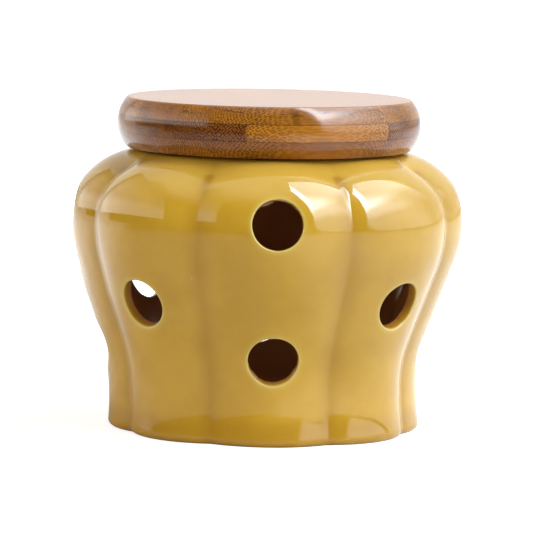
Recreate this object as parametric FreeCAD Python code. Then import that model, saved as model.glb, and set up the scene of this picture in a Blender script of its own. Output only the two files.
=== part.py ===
import FreeCAD, Part
import math
import os

# A garlic keeper: a lobed, vented ceramic pot with a laminated bamboo lid.
# Millimetres. +Z is up, the origin is the centre of the foot on the table,
# and -Y is the front, where a lobe with two vents faces the viewer.

# Driving dimensions of the pot
lobe_count = 8
belly_radius = 65.0
belly_height = 68.5
belly_round = 34.0
shoulder_round = 24.5
flank_lean = 20.8
waist_height = 17.0
waist_round = 40.0
foot_flare_round = 100.0
foot_edge_round = 2.0
wall = 3.8
floor_thickness = 4.6
floor_corner_round = 6.0
foot_recess_radius = 41.0
foot_recess_depth = 1.6
foot_recess_round = 1.2

# Grooves between the lobes: depth, where they start to fade under the lid,
# and the share of half a lobe that keeps its own curve before the soft valley
groove_depth = 3.1
groove_fade_start = 60.0
groove_softness = 0.95

# Vents
vent_radius = 7.8
vent_edge_round = 1.0
upper_vent_height = 73.8
middle_vent_height = 45.4
lower_vent_height = 28.2

# Driving dimensions of the lid. The strips are laid out in shares: how many strips the lid
# is across, where one joint of each ply lies, and the least that is left of a strip at the rim
lid_overhang = 9.9
lid_edge_bulge = 10.5
lid_crease_round = 1.2
ply_count = 3
ply_thickness = 5.6
strip_count = 5.6
joint_share = {"bottom": -0.056, "middle": 0.433, "top": 0.478}
offcut_share = 0.22
grain_angle = 18.0
plug_height = 9.4
plug_edge_round = 1.5
plug_side_gap = 2.2
ring_drop = 0.9
ring_height = 5.2
ring_seat_depth = 1.8
rib_height = 1.6
rib_nose_round = 0.7

# Clearances
seat_gap = 0.3
ring_gap = 0.3

# How closely faces are sewn together, and how closely an edge is told to lie on a vent or a level
sewing_gap = 0.001
edge_match = 0.02
level_match = 1e-6

# Height above the floor's corner that the inner wall leaves free, so that the two join smoothly
corner_run = 1.8

# Worked out from the sizes above
lobe_angle = 360.0 / lobe_count
half_lobe = lobe_angle / 2
lean = math.radians(flank_lean)
rim_radius = belly_radius - shoulder_round
rim_height = belly_height + shoulder_round
lip_round = wall / 2
mouth_radius = rim_radius - lip_round
belly_foot = (belly_radius - belly_round * (1 - math.cos(lean)),
              belly_height - belly_round * math.sin(lean))
waist_top_height = waist_height + waist_round * math.sin(lean)
waist_top = (belly_foot[0] - (belly_foot[1] - waist_top_height) * math.tan(lean),
             waist_top_height)
waist_radius = waist_top[0] - waist_round * (1 - math.cos(lean))
foot_edge_top = (foot_edge_round * (1 + waist_height / foot_flare_round)
                 / (1 + foot_edge_round / foot_flare_round))
flare_lean = math.asin((waist_height - foot_edge_top) / foot_flare_round)
lid_radius = rim_radius + lid_overhang
strip_width = 2 * lid_radius / strip_count
lid_floor = rim_height + seat_gap
lid_thickness = ply_count * ply_thickness
plug_radius = mouth_radius - plug_side_gap
ring_outer_radius = mouth_radius - ring_gap
ring_inner_radius = plug_radius - ring_seat_depth
ring_top = lid_floor - ring_drop - ring_gap


def steps(first, last, count):
    """Evenly spaced values from first to last, both included."""
    return [first + (last - first) * i / count for i in range(count + 1)]


def flare_point(angle):
    """Crest of a lobe below the waist, at this lean of the surface's normal."""
    radius = waist_radius + foot_flare_round * (1 - math.cos(angle))
    return radius, waist_height - foot_flare_round * math.sin(angle), angle


def waist_point(angle):
    """Crest of a lobe in the hollow above the waist."""
    radius = waist_radius + waist_round * (1 - math.cos(angle))
    return radius, waist_height + waist_round * math.sin(angle), -angle


def flank_point(share):
    """Crest of a lobe on the straight flank, share 0 at its foot and 1 at its top."""
    radius = waist_top[0] + (belly_foot[0] - waist_top[0]) * share
    return radius, waist_top[1] + (belly_foot[1] - waist_top[1]) * share, -lean


def belly_point(angle):
    """Crest of a lobe below the widest place."""
    radius = belly_radius - belly_round * (1 - math.cos(angle))
    return radius, belly_height - belly_round * math.sin(angle), -angle


def shoulder_point(angle):
    """Crest of a lobe above the widest place, up to the rim at a quarter turn."""
    radius = belly_radius - shoulder_round * (1 - math.cos(angle))
    return radius, belly_height + shoulder_round * math.sin(angle), angle


def lower_crest():
    """The crest of a lobe from the foot's edge to the foot of the belly."""
    rows = [flare_point(angle) for angle in steps(flare_lean, 0, 3)]
    rows += [waist_point(angle) for angle in steps(0, lean, 3)[1:]]
    rows += [flank_point(share) for share in steps(0, 1, 5)[1:]]
    return rows


def upper_crest():
    """The crest of a lobe over the belly and round the shoulder, to where the grooves fade."""
    rows = [belly_point(angle) for angle in steps(lean, 0, 3)[1:]]
    rows += [shoulder_point(angle) for angle in steps(0, math.radians(groove_fade_start), 8)[1:]]
    return rows


def rim_crest():
    """The last of the shoulder, where the grooves fade, up to the top of the rim."""
    return [shoulder_point(angle) for angle in steps(math.radians(groove_fade_start), math.pi / 2, 4)[1:]]


def crest_at(height):
    """The crest's radius and the lean of its normal at a height."""
    if height > belly_height:
        return shoulder_point(math.asin((height - belly_height) / shoulder_round))
    if height > belly_foot[1]:
        return belly_point(math.asin((belly_height - height) / belly_round))
    if height > waist_top[1]:
        return flank_point((height - waist_top[1]) / (belly_foot[1] - waist_top[1]))
    return waist_point(math.asin((height - waist_height) / waist_round))


def groove_share(across):
    """How far into the groove a place lies: 0 on the crest, its most at half a lobe, where across is 1."""
    if abs(across) < groove_softness:
        return across ** 2
    bend = groove_softness / (1 - groove_softness)
    return groove_softness - bend * (1 - abs(across)) ** 2


def groove_shift(row, across):
    """How far in from the crest the surface lies: level up to the belly, square to the shoulder above."""
    turn = row[2] if row[1] > belly_height else 0.0
    start = math.radians(groove_fade_start)
    late = min(max((turn - start) / (math.pi / 2 - start), 0.0), 1.0)
    depth = groove_depth * (1 - 3 * late ** 2 + 2 * late ** 3) * groove_share(across)
    return depth * math.cos(turn), depth * math.sin(turn)


def grooved_points(place, row):
    """All round the pot: points of the surface for one row, in from the crest by the grooves' depth."""
    sides = [0, 0.25, 0.5, 0.75, 0.86, groove_softness, (1 + groove_softness) / 2]
    columns = [-1.0] + [-side for side in reversed(sides[1:])] + sides
    points = []
    for number in range(lobe_count):
        for across in columns:
            inward, down = groove_shift(row, across)
            azimuth = math.radians(half_lobe * across + lobe_angle * number)
            radius = place[0] - inward
            points.append(FreeCAD.Vector(radius * math.sin(azimuth), -radius * math.cos(azimuth),
                                         place[1] - down))
    return points


def foot_edge():
    """The rounded edge of the foot, from the flat that stands on the table."""
    foot_radius, _, foot_lean = flare_point(flare_lean)
    centre = foot_radius - foot_edge_round * math.cos(foot_lean)
    return [(centre + foot_edge_round * math.cos(angle), foot_edge_round + foot_edge_round * math.sin(angle))
            for angle in steps(-math.pi / 2, foot_lean, 4)[:-1]]


def floor_corner():
    """The rounded corner between the floor inside and the wall, and the height where it ends."""
    top = floor_thickness + floor_corner_round
    tilt = math.asin((waist_height - top) / (foot_flare_round + wall))
    side = waist_radius + foot_flare_round * (1 - math.cos(tilt)) - wall * math.cos(tilt)
    centre = side - floor_corner_round * math.cos(tilt)
    return [(centre + floor_corner_round * math.cos(angle), top + floor_corner_round * math.sin(angle))
            for angle in steps(-math.pi / 2, tilt, 4)]


def lip_points():
    """The half-round lip of the mouth, between the top of the rim and its underside."""
    return [(rim_radius + lip_round * math.cos(angle), rim_height - lip_round + lip_round * math.sin(angle))
            for angle in steps(math.pi / 2, 3 * math.pi / 2, 6)[1:-1]]


def inside_of(rows):
    """The places one wall in from a stretch of the crest, from its top down."""
    return [((radius - wall * math.cos(tilt), height - wall * math.sin(tilt)), (radius, height, tilt))
            for radius, height, tilt in reversed(rows)]


def skin_stretches():
    """The whole skin in stretches of rows, from the foot's edge over the rim and down to the floor inside.

    Each row is a place on the section and the crest row that rules its grooves."""
    plain = (0, 0, 0)
    outside = [[((row[0], row[1]), row) for row in rows]
               for rows in (lower_crest(), upper_crest(), rim_crest())]
    clear_of_corner = floor_thickness + floor_corner_round + corner_run
    lower = [row for row in lower_crest() if row[1] > clear_of_corner]
    return [[(place, plain) for place in foot_edge()]] + outside + [
        [(place, rim_crest()[-1]) for place in lip_points()],
        inside_of(rim_crest()), inside_of(upper_crest()), inside_of(lower),
        [(place, plain) for place in reversed(floor_corner())]]


def bend_away(points, closed):
    """Control points for a smooth cubic surface: each stands out by a sixth of the bend at its place."""
    nets = list(points)
    last = len(points) - 1
    for index in range(0 if closed else 1, last + 1 if closed else last):
        before = points[index - 1]
        after = points[(index + 1) % len(points)]
        nets[index] = [here - (one + other - here * 2) * (1 / 6)
                       for here, one, other in zip(points[index], before, after)]
    return nets


def skin_surface(stretches):
    """One cubic surface through every row, closed round the pot."""
    rows = [grooved_points(place, row) for stretch in stretches for place, row in stretch]
    rows = bend_away(rows, False)
    columns = bend_away([list(column) for column in zip(*rows)], True)
    columns = columns[-1:] + columns[:-1]
    net = [list(row) for row in zip(*columns)]
    spans_up = len(net) - 3
    spans_round = len(columns)
    surface = Part.BSplineSurface()
    surface.buildFromPolesMultsKnots(net, [4] + [1] * (spans_up - 1) + [4], [1] * (spans_round + 1),
                                     steps(0, spans_up, spans_up), steps(0, spans_round, spans_round),
                                     False, True, 3, 3)
    return surface


def skin_faces():
    """The skin as one face for each stretch of each lobe."""
    stretches = skin_stretches()
    surface = skin_surface(stretches)
    bounds = [0]
    for stretch in stretches[:-1]:
        bounds.append(bounds[-1] + len(stretch))
    bounds = [0] + [bound - 1 for bound in bounds[1:]] + [surface.bounds()[1]]
    round_lobe = surface.bounds()[3] / lobe_count
    faces = []
    for low, high in zip(bounds, bounds[1:]):
        patch = surface.copy()
        patch.segment(low, high, 0, round_lobe)
        face = patch.toShape()
        for number in range(lobe_count):
            copy = face.copy()
            copy.rotate(FreeCAD.Vector(0, 0, 0), FreeCAD.Vector(0, 0, 1), lobe_angle * number)
            faces.append(copy)
    return faces


def flat_face(faces, height):
    """The flat face that closes the ring of edges lying at a height."""
    edges = [edge for face in faces for edge in face.Edges
             if edge.BoundBox.ZLength < level_match and abs(edge.BoundBox.ZMin - height) < level_match]
    return Part.Face(Part.Wire(Part.__sortEdges__(edges)))


def solid_pot():
    """The pot's wall and floor as one solid, before the vents and the foot's recess."""
    faces = skin_faces()
    skin = Part.makeCompound(faces + [flat_face(faces, 0), flat_face(faces, floor_thickness)])
    skin.sewShape(sewing_gap)
    pot = Part.Solid(skin.Shells[0])
    if pot.Volume < 0:
        pot.reverse()
    return pot


def foot_recess():
    """What is hollowed out of the foot's underside, with a rounded inner corner."""
    recess = Part.makeCylinder(foot_recess_radius, 2 * foot_recess_depth,
                               FreeCAD.Vector(0, 0, -foot_recess_depth))
    corner = [edge for edge in recess.Edges if edge.BoundBox.ZMin > foot_recess_depth - level_match]
    return recess.makeFillet(foot_recess_round, corner)


def vents():
    """Centre and outward direction of every vent: two on every other lobe, one on those between."""
    places = []
    for number in range(lobe_count):
        heights = [upper_vent_height, lower_vent_height] if number % 2 == 0 else [middle_vent_height]
        azimuth = math.radians(lobe_angle * number)
        for vent_height in heights:
            radius, height, tilt = crest_at(vent_height)
            centre = FreeCAD.Vector(radius * math.sin(azimuth), -radius * math.cos(azimuth), height)
            outward = FreeCAD.Vector(math.cos(tilt) * math.sin(azimuth),
                                     -math.cos(tilt) * math.cos(azimuth), math.sin(tilt))
            places.append((centre, outward))
    return places


def on_vent(edge, places):
    """Whether an edge runs round the rim of one of the vents, and not straight through the wall."""
    if edge.Curve.TypeId == "Part::GeomLine":
        return False
    point = edge.valueAt((edge.FirstParameter + edge.LastParameter) / 2)
    for centre, outward in places:
        offset = point - centre
        along = offset.dot(outward)
        if abs((offset - outward * along).Length - vent_radius) < edge_match and abs(along) < 2 * wall:
            return True
    return False


def make_pot():
    """The ceramic pot as one solid."""
    places = vents()
    cutters = [foot_recess()]
    for centre, outward in places:
        cutters.append(Part.makeCylinder(vent_radius, 6 * wall, centre - outward * 3 * wall, outward))
    pot = solid_pot().cut(cutters)
    return pot.makeFillet(vent_edge_round, [edge for edge in pot.Edges if on_vent(edge, places)])


def make_lid_blank():
    """The turned board of the lid, with its bulging edge, before it is parted into strips."""
    half = lid_thickness / 2
    flat_radius = lid_radius - lid_edge_bulge + math.sqrt(lid_edge_bulge ** 2 - half ** 2)
    low = FreeCAD.Vector(flat_radius, 0, lid_floor)
    side = FreeCAD.Vector(lid_radius, 0, lid_floor + half)
    high = FreeCAD.Vector(flat_radius, 0, lid_floor + lid_thickness)
    bottom_centre = FreeCAD.Vector(0, 0, lid_floor)
    top_centre = FreeCAD.Vector(0, 0, lid_floor + lid_thickness)
    outline = Part.Wire([Part.makeLine(bottom_centre, low), Part.Arc(low, side, high).toShape(),
                         Part.makeLine(high, top_centre), Part.makeLine(top_centre, bottom_centre)])
    blank = Part.Face(outline).revolve(FreeCAD.Vector(0, 0, 0), FreeCAD.Vector(0, 0, 1), 360)
    creases = [edge for edge in blank.Edges
               if edge.BoundBox.ZLength < level_match and edge.BoundBox.XLength > lid_radius]
    return blank.makeFillet(lid_crease_round, creases)


def joint_places(ply):
    """Where a ply's glue joints lie, as distances from the lid's centre across the grain."""
    reach = strip_count / 2 - offcut_share
    place = joint_share[ply] - math.floor(joint_share[ply] + reach)
    places = []
    while place < reach:
        places.append(strip_width * place)
        place += 1
    return places


def make_strips(blank, ply, level):
    """The bamboo strips of one ply, from the back to the front across the grain."""
    bounds = [-2 * lid_radius] + joint_places(ply) + [2 * lid_radius]
    strips = []
    for near, far in zip(bounds, bounds[1:]):
        slab = Part.makeBox(4 * lid_radius, far - near, ply_thickness,
                            FreeCAD.Vector(-2 * lid_radius, -far, lid_floor + level * ply_thickness))
        slab.rotate(FreeCAD.Vector(0, 0, 0), FreeCAD.Vector(0, 0, 1), grain_angle)
        strips.append(blank.common(slab))
    return strips


def make_plug():
    """The turned spigot under the lid, with the groove that holds the ring."""
    plug = Part.makeCylinder(plug_radius, plug_height, FreeCAD.Vector(0, 0, lid_floor - plug_height))
    low_edge = [edge for edge in plug.Edges if edge.BoundBox.ZMax < lid_floor - plug_height + level_match]
    plug = plug.makeFillet(plug_edge_round, low_edge)
    groove_height = ring_height + 2 * ring_gap
    groove_floor = ring_top + ring_gap - groove_height
    groove = Part.makeCylinder(2 * plug_radius, groove_height, FreeCAD.Vector(0, 0, groove_floor))
    core = Part.makeCylinder(ring_inner_radius - ring_gap, groove_height, FreeCAD.Vector(0, 0, groove_floor))
    return plug.cut(groove.cut(core))


def make_ring():
    """The silicone ring: a flat band with two round-nosed ribs that touch the mouth."""
    band = ring_tube(ring_inner_radius, plug_radius, ring_top - ring_height, ring_height)
    for rib_top in (ring_top, ring_top - ring_height + rib_height):
        rib = ring_tube(ring_inner_radius, ring_outer_radius, rib_top - rib_height, rib_height)
        nose = [edge for edge in rib.Edges if edge.BoundBox.ZLength < level_match
                and edge.BoundBox.XLength > 2 * ring_outer_radius - edge_match]
        band = band.fuse(rib.makeFillet(rib_nose_round, nose))
    return band.removeSplitter()


def ring_tube(inner, outer, floor, height):
    """A plain tube standing at a height."""
    outside = Part.makeCylinder(outer, height, FreeCAD.Vector(0, 0, floor))
    return outside.cut(Part.makeCylinder(inner, height, FreeCAD.Vector(0, 0, floor)))


def main():
    os.makedirs("parts", exist_ok=True)
    pieces = {"pot": make_pot(), "lid_plug": make_plug(), "seal_ring": make_ring()}
    blank = make_lid_blank()
    for level, ply in enumerate(("bottom", "middle", "top")):
        for number, strip in enumerate(make_strips(blank, ply, level), start=1):
            pieces["lid_%s_strip_%d" % (ply, number)] = strip
    for name, shape in pieces.items():
        shape.exportStep("parts/%s.step" % name)
        box = shape.optimalBoundingBox(False)
        print(name, len(shape.Solids), "solid", shape.isValid(), "%.0f mm3" % shape.Volume,
              "z %.2f to %.2f" % (box.ZMin, box.ZMax), "radius %.2f" % box.XMax)


main()
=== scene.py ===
# %% [markdown]
# # A garlic keeper, dressed for its portrait
# The real object is a slip-cast pot with eight lobes, dipped in a mustard glaze and vented
# with round holes, under a lid of laminated bamboo that plugs the mouth with a silicone ring.
# The CAD model already holds every piece at its true size. Here each piece is drawn again as
# a finer surface, gets its finish, and is photographed on a white table.

# %% Load the fixed frame
import math

import bmesh
import bpy
import numpy as np
from mathutils import Matrix


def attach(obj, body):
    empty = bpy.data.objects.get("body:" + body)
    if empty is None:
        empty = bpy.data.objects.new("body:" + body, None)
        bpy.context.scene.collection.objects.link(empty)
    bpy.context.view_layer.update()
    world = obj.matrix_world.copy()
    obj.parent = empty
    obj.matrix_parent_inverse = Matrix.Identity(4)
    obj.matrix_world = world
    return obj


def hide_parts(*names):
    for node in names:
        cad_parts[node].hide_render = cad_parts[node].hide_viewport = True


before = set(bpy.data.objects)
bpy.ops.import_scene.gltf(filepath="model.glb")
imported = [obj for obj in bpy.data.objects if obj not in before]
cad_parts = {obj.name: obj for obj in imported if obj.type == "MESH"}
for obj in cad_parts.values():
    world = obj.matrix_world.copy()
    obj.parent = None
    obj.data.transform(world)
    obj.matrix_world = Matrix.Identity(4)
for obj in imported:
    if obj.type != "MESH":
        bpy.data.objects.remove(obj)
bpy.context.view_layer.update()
MM = 0.001

# %% [markdown]
# ## The pot's outline
# A potter thinks of this pot as one outline spun round the axis: foot, hollow waist, straight
# flank, full belly, round shoulder and lip, then the same again inside, one wall further in.
# It could be traced by hand with a curve, but the outline is a chain of arcs that touch
# smoothly, so a few radii say all of it. Each place on it keeps its radius, its height, the way
# a groove sinks in there, and how much of the groove's depth it takes.

# %% Sizes of the pot
lobe_count = 8
half_lobe = math.pi / lobe_count
belly_radius, belly_height = 65.0 * MM, 68.5 * MM
belly_round, shoulder_round = 34.0 * MM, 24.5 * MM
flank_lean = math.radians(20.8)
waist_height, waist_round = 17.0 * MM, 40.0 * MM
flare_round, edge_round = 100.0 * MM, 2.0 * MM
wall, floor_thickness, floor_round = 3.8 * MM, 4.6 * MM, 6.0 * MM
recess_radius, recess_depth, recess_round, recess_edge = 41.0 * MM, 1.6 * MM, 1.2 * MM, 0.4 * MM
lip_round, quarter = wall / 2, math.pi / 2
rim_radius, rim_height = belly_radius - shoulder_round, belly_height + shoulder_round
belly_foot = (belly_radius - belly_round * (1 - math.cos(flank_lean)),
              belly_height - belly_round * math.sin(flank_lean))
waist_top_height = waist_height + waist_round * math.sin(flank_lean)
waist_top = (belly_foot[0] - (belly_foot[1] - waist_top_height) * math.tan(flank_lean),
             waist_top_height)
waist_radius = waist_top[0] - waist_round * (1 - math.cos(flank_lean))
edge_top = edge_round * (1 + waist_height / flare_round) / (1 + edge_round / flare_round)
flare_lean = math.asin((waist_height - edge_top) / flare_round)
print("rim radius %.1f mm, rim height %.1f mm" % (rim_radius / MM, rim_height / MM))


# %% The arcs of the outline
arc_count, run_count = 160, 60


def arc(centre, radius, first, last, count=arc_count):
    """Points of an arc: the centre plus the radius times the cosine and the sine of each angle."""
    angle = np.linspace(first, last, count)
    return np.column_stack([centre[0] + radius * np.cos(angle),
                            centre[1] + radius * np.sin(angle), angle])


def straight(first, last, count=run_count):
    """Points of a straight run: the first place plus a growing share of the way to the last."""
    share = np.linspace(0, 1, count)[:, None]
    places = np.array(first) + (np.array(last) - np.array(first)) * share
    return np.column_stack([places, np.zeros(count)])


def crest_outline():
    """The outside along a lobe's crest, from the foot's edge to the rim: radius, height, lean."""
    flare_centre = (waist_radius + flare_round, waist_height)
    waist_centre = (waist_radius + waist_round, waist_height)
    shoulder_centre = (belly_radius - shoulder_round, belly_height)
    flare = arc(flare_centre, flare_round, math.pi + flare_lean, math.pi)
    waist = arc(waist_centre, waist_round, math.pi, math.pi - flank_lean)
    flank = straight(waist_top, belly_foot, arc_count)
    belly = arc((belly_radius - belly_round, belly_height), belly_round, -flank_lean, 0)
    shoulder = arc(shoulder_centre, shoulder_round, 0, quarter, 2 * arc_count)
    flare[:, 2] -= math.pi
    waist[:, 2] -= math.pi
    flank[:, 2] = -flank_lean
    return np.vstack([flare, waist, flank, belly, shoulder])


crest = crest_outline()
inner = crest[::-1].copy()
inner[:, :2] -= wall * np.column_stack([np.cos(inner[:, 2]), np.sin(inner[:, 2])])
print("crest: %d places" % len(crest))

# %% [markdown]
# ## Joining the outline into one path
# The pieces are laid end to end, from the middle of the foot's hollow over the rim to the middle
# of the floor inside. The corner between wall and floor is an arc that touches both. One number,
# the distance along this path, then finds any place on the pot's section.

# %% One path from the foot over the rim to the floor
same_place = 1e-9
corner_reach = flare_round + wall + floor_round
corner_lean = math.asin((waist_height - floor_thickness - floor_round) / corner_reach)
corner_centre = (waist_radius + flare_round - corner_reach * math.cos(corner_lean),
                 floor_thickness + floor_round)
corner_top = corner_centre[1] + floor_round * math.sin(corner_lean)
foot_centre = (waist_radius + flare_round * (1 - math.cos(flare_lean))
               - edge_round * math.cos(flare_lean), edge_round)
recess_flat, foot_start = recess_radius - recess_round, recess_radius + recess_edge
stretches = {
    "recess": straight((0, recess_depth), (recess_flat, recess_depth)),
    "recess_corner": arc((recess_flat, recess_depth - recess_round), recess_round, quarter, 0),
    "recess_edge": arc((foot_start, recess_edge), recess_edge, 2 * quarter, 3 * quarter),
    "foot": straight((foot_start, 0), (foot_centre[0], 0)),
    "foot_edge": arc(foot_centre, edge_round, -quarter, flare_lean),
    "outside": crest,
    "lip": arc((rim_radius, rim_height - lip_round), lip_round, quarter, 3 * quarter),
    "inside": inner[inner[:, 1] > corner_top],
    "corner": arc(corner_centre, floor_round, corner_lean, -quarter),
    "floor": straight((corner_centre[0], floor_thickness), (0, floor_thickness)),
}
groove_take = {"recess": 0, "recess_corner": 0, "recess_edge": 0, "lip": 0,
               "foot": np.linspace(0, 1, run_count), "floor": np.linspace(1, 0, run_count)}
outline = []
for name, places in stretches.items():
    lean = places[:, 2] if name in ("outside", "inside") else np.zeros(len(places))
    turn = np.where((places[:, 1] > belly_height - wall) & (lean > 0), lean, 0.0)
    take = np.broadcast_to(groove_take.get(name, 1), len(places))
    outline.append(np.column_stack([places[:, :2], turn, take]))
ends = np.cumsum([len(rows) for rows in outline])
outline = np.vstack(outline)
path = np.append(0, np.cumsum(np.hypot(*np.diff(outline[:, :2], axis=0).T)))
reach = {name: (path[end - len(stretches[name])], path[end - 1])
         for name, end in zip(stretches, ends)}
fresh = np.append(True, np.diff(path) > same_place)
outline, path = outline[fresh], path[fresh]
print("section path: %d places, %.1f mm" % (len(path), path[-1] / MM))

# %% [markdown]
# ## The pot's skin
# Eight soft valleys run down the pot between its lobes. Each is a parabola across the lobe,
# rounded off in the bottom of the valley, and it dies away under the lid. Sculpting would never
# repeat it evenly, so the skin is a function of two numbers: the azimuth round the axis and the
# distance along the section. No clay pot is quite true: this one stands a little fuller at the
# shoulder, has settled outward low on its left, and one valley has wandered by two degrees.
# A few wide bell curves say that without a kink that a glossy glaze would show.

# %% The skin as a function of azimuth and distance
groove_depth, groove_fade, groove_softness = 3.1 * MM, math.radians(60), 0.95
uneven_groove, groove_drift, drift_reach = -math.radians(22.5), math.radians(2.0), math.radians(9)
# Each swell: how far it stands out, its height, its reach up and down, its reach round the side.
swells = ((1.0 * MM, 80 * MM, 9.5 * MM, None),
          (2.3 * MM, 26 * MM, 18 * MM, math.radians(40)),
          (1.0 * MM, 47 * MM, 9 * MM, math.radians(40)))
swell_side = -math.radians(87)


def bell(value, centre, reach):
    """A bell curve: 1 at the centre, 1/e at one reach from it."""
    return np.exp(-((value - centre) / reach) ** 2)


def half_turn(angle):
    """An angle brought to between minus and plus half a turn."""
    return (angle + math.pi) % (2 * math.pi) - math.pi


def groove_share(azimuth):
    """0 on a crest to nearly 1 in a valley: the place across half a lobe squared, eased near 1."""
    azimuth = half_turn(azimuth)
    azimuth = azimuth + groove_drift * bell(azimuth, uneven_groove, drift_reach)
    across = np.abs((azimuth + half_lobe) % (2 * half_lobe) / half_lobe - 1)
    steep = groove_softness / (1 - groove_softness)
    eased = groove_softness - steep * (1 - across) ** 2
    return np.where(across < groove_softness, across ** 2, eased)


def handmade(azimuth, height):
    """How far the clay stands out from its drawing: a sum of swells, each fading up and round."""
    side = half_turn(azimuth - swell_side)
    return sum(size * bell(height, centre, reach) * (1 if width is None else bell(side, 0, width))
               for size, centre, reach, width in swells)


def skin(azimuth, along):
    """Places on the pot: the section, less the groove's depth along its turn, spun round."""
    radius, height, turn, take = (np.interp(along, path, column) for column in outline.T)
    late = np.clip((turn - groove_fade) / (quarter - groove_fade), 0, 1)
    depth = groove_depth * take * groove_share(azimuth) * (1 - late ** 2 * (3 - 2 * late))
    depth = depth - take * handmade(azimuth, height) * np.cos(turn)
    radius, height = radius - depth * np.cos(turn), height - depth * np.sin(turn)
    return np.stack([radius * np.sin(azimuth), -radius * np.cos(azimuth), height], -1)


# %% Rows and columns, closer where the skin bends
columns_per_lobe, crowding = 36, 0.12
widest_step, flat_step, widest_turn = 1.6 * MM, 4.0 * MM, math.radians(14)
share = np.arange(-columns_per_lobe // 2, columns_per_lobe // 2) * 2 / columns_per_lobe
across = share + crowding * np.sin(math.pi * share)
azimuths = (half_lobe * across + 2 * half_lobe * np.arange(lobe_count)[:, None]).ravel()
heading = np.unwrap(np.arctan2(np.diff(outline[:, 1]), np.diff(outline[:, 0])))
pace = np.where(outline[1:, 0] > recess_radius - wall, widest_step, flat_step)
bend = np.abs(np.diff(heading, prepend=heading[0]))
effort = np.append(0, np.cumsum(np.diff(path) / pace + bend / widest_turn))
row_count = int(effort[-1]) + 1
alongs = np.interp(np.linspace(0, effort[-1], row_count), effort, path)
print("skin grid: %d rows by %d columns" % (row_count, len(azimuths)))

# %% [markdown]
# ## Where the vents are
# Every other lobe has two vents and the lobes between have one. Each is drilled square to the
# crest while the clay is leather-hard. A vent is kept as a centre, a direction out of the wall,
# and the two directions across its face. Three vents at the back sit a little high, as the
# light that the picture shows through the front ones tells, and one sits a column to the left.

# %% The vents' places
vent_radius, vent_edge = 8.15 * MM, 0.75 * MM
vent_heights = {0: (73.8 * MM, 28.2 * MM), 1: (45.4 * MM,)}
vent_lift = {(4, 73.8 * MM): 3.4 * MM, (4, 28.2 * MM): 1.2 * MM, (3, 45.4 * MM): 2.9 * MM}
vent_shift = {7: -1}


def crest_place(height):
    """The row of the crest at a height: each column read off where the heights rise to it."""
    return np.array([np.interp(height, crest[:, 1], crest[:, k]) for k in range(3)])


def vent_column(lobe):
    """The grid column that a lobe's vents are centred on."""
    return lobe * columns_per_lobe + columns_per_lobe // 2 + vent_shift.get(lobe, 0)


def vent_axes(lobe, height):
    """Centre, outward direction, level direction and rising direction of a vent."""
    radius, level, lean = crest_place(height)
    angle = 2 * half_lobe * (lobe + vent_shift.get(lobe, 0) / columns_per_lobe)
    radial = np.array([math.sin(angle), -math.cos(angle), 0.0])
    across_face = np.array([math.cos(angle), math.sin(angle), 0.0])
    outward = radial * math.cos(lean) + np.array([0, 0, math.sin(lean)])
    centre = radial * radius + np.array([0, 0, level])
    return centre, outward, across_face, np.cross(outward, across_face)


vents = [(lobe, height + vent_lift.get((lobe, height), 0))
         for lobe in range(lobe_count) for height in vent_heights[lobe % 2]]
print("vents:", len(vents))

# %% [markdown]
# ## Cutting the vents into the skin
# A Boolean would leave ragged triangles that show in a glossy glaze. Instead a block of the grid
# round each vent is left out and filled with rings that turn slowly from the block's square
# border into the vent's circle. Newton's method puts every ring point back on the true skin.
# From the circle a curve rolls over the edge, runs through the wall and meets the inside.

# %% Rings from a square border to a circle
half_columns, half_rows, skin_rings, edge_steps, bore_steps = 8, 9, 6, 5, 5
newton_steps, ring_crowding, nudge = 8, 1.15, 0.05 * MM


def on_skin(target, azimuth, along, axes):
    """Places on the skin at a target on a vent's face: repeat guess - slope inverse x error."""
    centre, _, across_face, rising = axes
    face = np.stack([across_face, rising], -1)
    swing = nudge / belly_radius
    for _ in range(newton_steps):
        here = (skin(azimuth, along) - centre) @ face
        by_azimuth = ((skin(azimuth + swing, along) - centre) @ face - here) / swing
        by_along = ((skin(azimuth, along + nudge) - centre) @ face - here) / nudge
        slope = np.stack([by_azimuth, by_along], -1)
        move = np.linalg.solve(slope, (target - here)[..., None])[..., 0]
        azimuth, along = azimuth + move[..., 0], along + move[..., 1]
    return skin(azimuth, along), azimuth, along


def border(row, column, rising=True):
    """Rows and columns round the edge of the block at a grid place, anticlockwise from outside."""
    low, high, left, right = (row - half_rows, row + half_rows,
                              column - half_columns, column + half_columns)
    run_across, run_up = np.arange(left, right), np.arange(low, high)
    rows = np.concatenate([np.full(len(run_across), low), run_up,
                           np.full(len(run_across), high), run_up[::-1] + 1])
    columns = np.concatenate([run_across, np.full(len(run_up), right),
                              run_across[::-1] + 1, np.full(len(run_up), left)])
    return rows if rising else 2 * row - rows, columns % len(azimuths)


def rings(axes, row, column, rising):
    """A vent's rings on one side: border times t plus circle times 1 - t, put on the skin."""
    rows, columns = border(row, column, rising)
    edge = skin(azimuths[columns], alongs[rows])
    flat = np.stack([(edge - axes[0]) @ axes[2], (edge - axes[0]) @ axes[3]], -1)
    angle = np.arctan2(flat[:, 1], flat[:, 0])
    circle = (vent_radius + vent_edge) * np.stack([np.cos(angle), np.sin(angle)], -1)
    t = (np.arange(skin_rings) / skin_rings)[:, None, None] ** ring_crowding
    target = flat * t + circle * (1 - t)
    swing = half_turn(azimuths[columns] - azimuths[column])
    azimuth = np.broadcast_to(azimuths[column] + swing / 2, target.shape[:2])
    along = np.broadcast_to((alongs[rows] + alongs[row]) / 2, target.shape[:2])
    return (*on_skin(target, azimuth, along, axes), (rows, columns))


# %% Rolling over a vent's edge
grip = 0.55


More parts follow.
